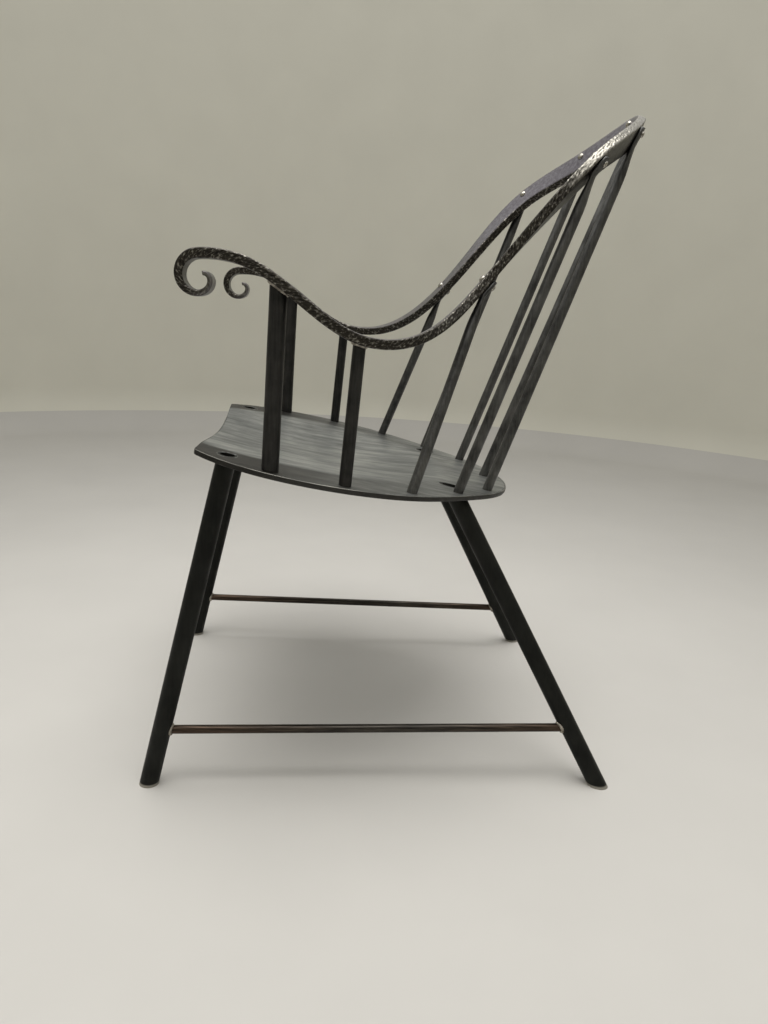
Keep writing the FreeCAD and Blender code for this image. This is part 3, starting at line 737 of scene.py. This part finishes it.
def weld_tree():
    """Overlapping flat drops along a path, as a welder's ripples, over a round core."""
    tree, given = new_tree("weld_ripples", ("Bead Radius", "Ripple Spacing"))
    path = add(tree, "GeometryNodeMeshToCurve", {"Mesh": given["Geometry"]})
    core_radius = add(tree, "ShaderNodeMath", {0: given["Bead Radius"], 1: 0.8}, operation="MULTIPLY")
    ring = add(tree, "GeometryNodeCurvePrimitiveCircle", {"Resolution": 10, "Radius": core_radius},
               mode="RADIUS")
    core = add(tree, "GeometryNodeCurveToMesh", {"Curve": path, "Profile Curve": ring})
    steps = add(tree, "GeometryNodeCurveToPoints", {"Curve": path, "Length": given["Ripple Spacing"]},
                mode="LENGTH")
    drop = add(tree, "GeometryNodeMeshUVSphere", {"Segments": 12, "Rings": 8, "Radius": given["Bead Radius"]})
    spread = add(tree, "FunctionNodeRandomValue",
                 {"Min": (0.85, 0.85, 0.5), "Max": (1.15, 1.15, 0.7), "Seed": 4}, data_type="FLOAT_VECTOR")
    ripples = add(tree, "GeometryNodeInstanceOnPoints",
                  {"Points": steps, "Instance": drop, "Rotation": steps.outputs["Rotation"], "Scale": spread})
    both = add(tree, "GeometryNodeJoinGeometry")
    for shape in (core.outputs["Mesh"], ripples.outputs["Instances"]):
        tree.links.new(shape, both.inputs["Geometry"])
    real = add(tree, "GeometryNodeRealizeInstances", {"Geometry": both})
    close_tree(tree, add(tree, "GeometryNodeSetShadeSmooth", {"Geometry": real}), weld_steel)
    return tree


def bar_lines(start, run, radius):
    """Lines along a round bar's surface: their starts, evenly round it."""
    side = run.orthogonal().normalized()
    other = run.cross(side)
    steps = 48
    angles = [2 * math.pi * step / steps for step in range(steps)]
    return [start + (side * math.cos(angle) + other * math.sin(angle)) * radius for angle in angles]


def ring_on_plane(start, run, radius, point, normal):
    """Where a round bar along run meets the plane through point."""
    return [spot + run * ((point - spot).dot(normal) / run.dot(normal))
            for spot in bar_lines(start, run, radius)]


def ring_on_bar(start, run, radius, foot, rise, bar_radius):
    """Where a thin round bar along run, which starts on a thicker bar's axis, leaves that bar's surface."""
    ring = []
    flat = run - rise * run.dot(rise)
    for spot in bar_lines(start, run, radius):
        gap = spot - foot
        gap -= rise * gap.dot(rise)
        square, cross, rest = flat.dot(flat), gap.dot(flat), gap.dot(gap) - bar_radius ** 2
        ring.append(spot + run * ((math.sqrt(cross ** 2 - square * rest) - cross) / square))
    return ring


def weld_rings():
    """The paths of the beads by the solids that they stand for."""
    rings = {"stretcher_welds": [], "arm_post_welds": [], "leg_welds": []}
    lines = [leg_line(foot, head) for foot, head in LEGS]
    under = seat_plane(0, 0) - SEAT_NORMAL * SEAT_THICKNESS
    for foot, rise in lines:
        rings["leg_welds"].append(ring_on_plane(foot, rise, LEG_DIAMETER / 2, under, SEAT_NORMAL))
    for front, rear in ((lines[0], lines[2]), (lines[1], lines[3])):
        ends = [foot + rise * (STRETCHER_HEIGHT / rise.z) for foot, rise in (front, rear)]
        run = (ends[1] - ends[0]).normalized()
        for end, inward, (foot, rise) in zip(ends, (run, -run), (front, rear)):
            ring = ring_on_bar(end, inward, STRETCHER_DIAMETER / 2, foot, rise, LEG_DIAMETER / 2)
            rings["stretcher_welds"].append(ring)
    posts = ((POST_FEET[0], FRONT_POST_TOP, FRONT_POST_AT, FRONT_POST_DIAMETER),
             (POST_FEET[1], REAR_POST_TOP, FLAT_UNTIL, REAR_POST_DIAMETER))
    for foot, top, at, diameter in posts:
        start = seat_plane(*foot)
        middle, _, face = bow_frame(at)
        under_arm = middle - face * (BOW_THICKNESS / 2)
        ring = ring_on_plane(start, (top - start).normalized(), diameter / 2, under_arm, face)
        rings["arm_post_welds"] += [ring, [mirrored(point) for point in ring]]
    return rings


def make_welds():
    tree = weld_tree()
    for node, paths in weld_rings().items():
        points = [point for path in paths for point in path]
        edges = []
        for path in paths:
            first = len(edges)
            edges += [(first + step, first + (step + 1) % len(path)) for step in range(len(path))]
        mesh = mesh_from(node, points, [], edges)
        sizes = {"Bead Radius": 2.6, "Ripple Spacing": 2.0}
        new_piece(f"{node}_ripples", grown(node, mesh, tree, sizes), weld_steel, "weld_steel", node)


make_rivets()
make_welds()

# Camera at the photograph's place, floor, backdrop and light
IMAGE_WIDTH = 768
FOCAL_PIXELS = 770.0
CAMERA_PLACE = Vector((1203.2, -125.4, 652.2))
YAW, PITCH, ROLL = (math.radians(angle) for angle in (5.84, 14.81, 3.69))


def make_camera():
    """The photograph's view: level across the chair, then turned by the camera's yaw, pitch and roll."""
    ahead = Vector((-math.cos(YAW) * math.cos(PITCH), math.sin(YAW) * math.cos(PITCH), -math.sin(PITCH)))
    level = Vector((math.sin(YAW), math.cos(YAW), 0))
    over = level.cross(ahead)
    right = level * math.cos(ROLL) + over * math.sin(ROLL)
    upward = over * math.cos(ROLL) - level * math.sin(ROLL)
    data = bpy.data.cameras.new("camera")
    data.sensor_fit = "HORIZONTAL"
    data.sensor_width = 36.0
    data.lens = FOCAL_PIXELS * data.sensor_width / IMAGE_WIDTH
    camera = bpy.data.objects.new("camera", data)
    turn = Matrix((right, upward, -ahead)).transposed().to_4x4()
    camera.matrix_world = Matrix.Translation(CAMERA_PLACE * MM) @ turn
    bpy.context.scene.collection.objects.link(camera)
    bpy.context.scene.camera = camera


def painted_board(name, colour):
    """Smooth painted board: pale, matt, with a little unevenness."""
    material, tree = new_material(name)
    where = add(tree, "ShaderNodeTexCoord").outputs["Object"]
    patch_mm = 260.0
    patches = add(tree, "ShaderNodeTexNoise", {"Vector": where, "Scale": 1 / (patch_mm * MM), "Detail": 3.0})
    tone = add(tree, "ShaderNodeMapRange", {"Value": patches, "To Min": 0.95, "To Max": 1.05})
    shade = add(tree, "ShaderNodeVectorMath", {0: linear(colour)[:3], "Scale": tone}, operation="SCALE")
    finish_material(tree, {"Base Color": shade, "Roughness": 0.85})
    return material


def make_stage():
    """A round pale floor that sweeps up into a plain wall, the same on every side of the chair."""
    radius, bend, top = 2900.0, 200.0, 2200.0
    turn_steps, bend_steps = 96, 8
    profile = [(radius - bend, 0.0)]
    for step in range(1, bend_steps + 1):
        angle = step / bend_steps * math.pi / 2
        profile.append((radius - bend + bend * math.sin(angle), bend - bend * math.cos(angle)))
    profile.append((radius, top))
    turns = [2 * math.pi * step / turn_steps for step in range(turn_steps)]
    points = [Vector((out * math.cos(turn), out * math.sin(turn), rise))
              for out, rise in profile for turn in turns]
    # The faces look inwards, at the chair
    faces = [face[::-1] for face in band_faces(len(profile), turn_steps)]
    on_wall = [int(number // turn_steps > bend_steps // 2) for number in range(len(faces))]
    mesh = mesh_from("stage", points, faces + [tuple(range(turn_steps))])
    mesh.materials.append(painted_board("white_board", "#c6c4c1"))
    mesh.materials.append(painted_board("stone_board", "#d9d7cc"))
    mesh.polygons.foreach_set("material_index", on_wall + [0])
    stage = bpy.data.objects.new("stage", mesh)
    bpy.context.scene.collection.objects.link(stage)


def make_light():
    """One soft panel over the chair, and a pale sky."""
    place, target = Vector((220, -120, 2100)), Vector((100, -60, 300))
    panel_mm, panel_watts, panel_spread = 1500.0, 14.0, math.radians(110)
    data = bpy.data.lights.new("ceiling_panel", "AREA")
    data.shape = "SQUARE"
    data.size = panel_mm * MM
    data.energy = panel_watts
    data.color = linear("#fffdf8")[:3]
    data.spread = panel_spread
    lamp = bpy.data.objects.new("ceiling_panel", data)
    turn = (target - place).to_track_quat("-Z", "Y").to_matrix().to_4x4()
    lamp.matrix_world = Matrix.Translation(place * MM) @ turn
    lamp.visible_camera = False
    bpy.context.scene.collection.objects.link(lamp)
    world = bpy.data.worlds.new("room")
    world.use_nodes = True
    tree = world.node_tree
    tree.nodes.clear()
    sky = add(tree, "ShaderNodeBackground", {"Color": linear("#f4f3ef"), "Strength": 0.9})
    add(tree, "ShaderNodeOutputWorld", {"Surface": sky})
    bpy.context.scene.world = world


make_camera()
make_stage()
make_light()
bpy.context.scene.view_settings.view_transform = "Standard"
